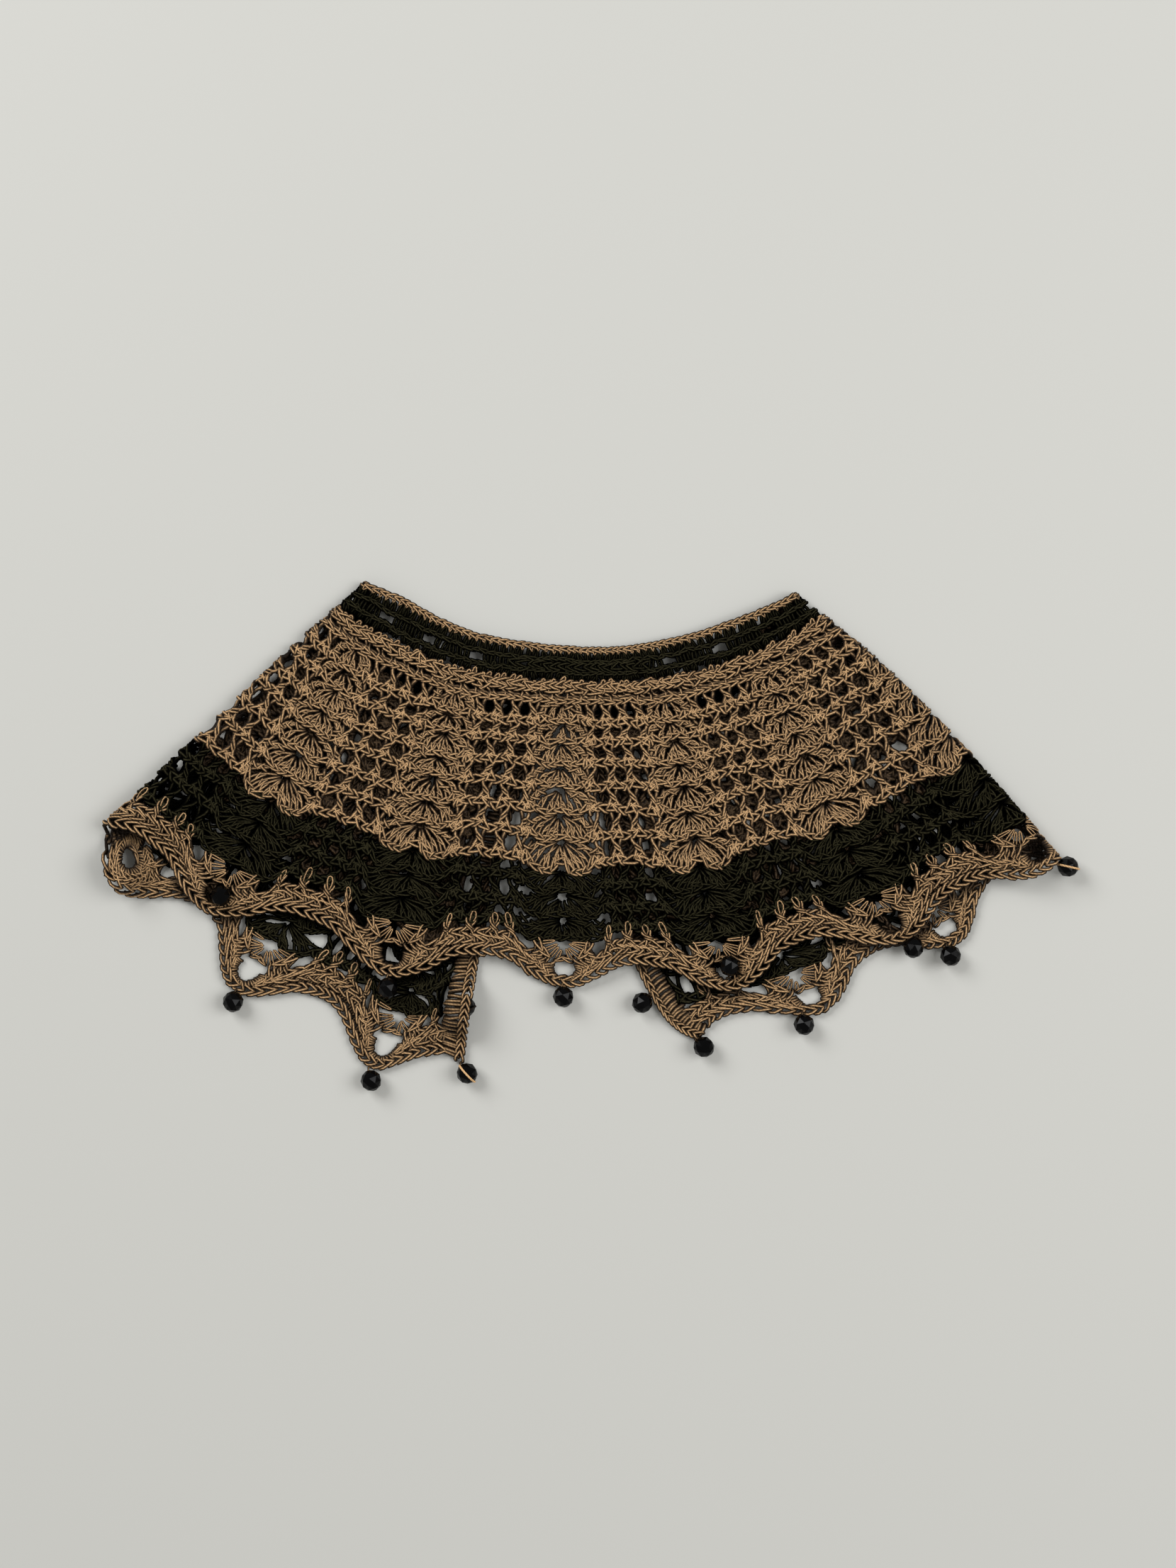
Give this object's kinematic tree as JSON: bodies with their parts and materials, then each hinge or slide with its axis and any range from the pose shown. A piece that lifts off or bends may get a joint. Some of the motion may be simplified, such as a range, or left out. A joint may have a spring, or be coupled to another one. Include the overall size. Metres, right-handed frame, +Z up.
{
  "type": "lace collar",
  "caption": "Crocheted cotton lace collar in tan and near-black bands with a beaded scalloped edge, folded on itself and lying flat.",
  "frame": {"origin": "centre of the flat underside's bounding box, on the surface the collar lies on", "axes": "+X to the wearer's left along the neck edge, as the folded collar is seen from above; +Y from the scallops towards the neck edge; +Z up, out of the front layer"},
  "size_m": [0.3652, 0.1908, 0.0113],
  "materials": {
    "cotton_tan": "matte",
    "cotton_dark": "matte",
    "black_glass": "polished"
  },
  "bodies": {
    "root": {"neck_rim": "cotton_tan", "yoke": "cotton_tan", "scallop_edging": "cotton_tan", "left_under_layer": "cotton_tan", "right_under_layer": "cotton_tan", "left_flap_edging": "cotton_tan", "right_flap_edging": "cotton_tan", "left_end_border": "cotton_tan", "right_end_border": "cotton_tan", "neck_band": "cotton_dark", "hem_band": "cotton_dark", "left_flap_hem_band": "cotton_dark", "right_flap_hem_band": "cotton_dark", "bead_middle": "black_glass", "bead_left_1": "black_glass", "bead_left_2": "black_glass", "bead_left_3": "black_glass", "bead_left_4": "black_glass", "bead_left_5": "black_glass", "bead_left_corner": "black_glass", "bead_left_edge": "black_glass", "bead_right_1": "black_glass", "bead_right_2": "black_glass", "bead_right_3": "black_glass", "bead_right_4": "black_glass", "bead_right_5": "black_glass", "bead_right_corner": "black_glass", "bead_right_edge": "black_glass"}
  },
  "joints": []
}
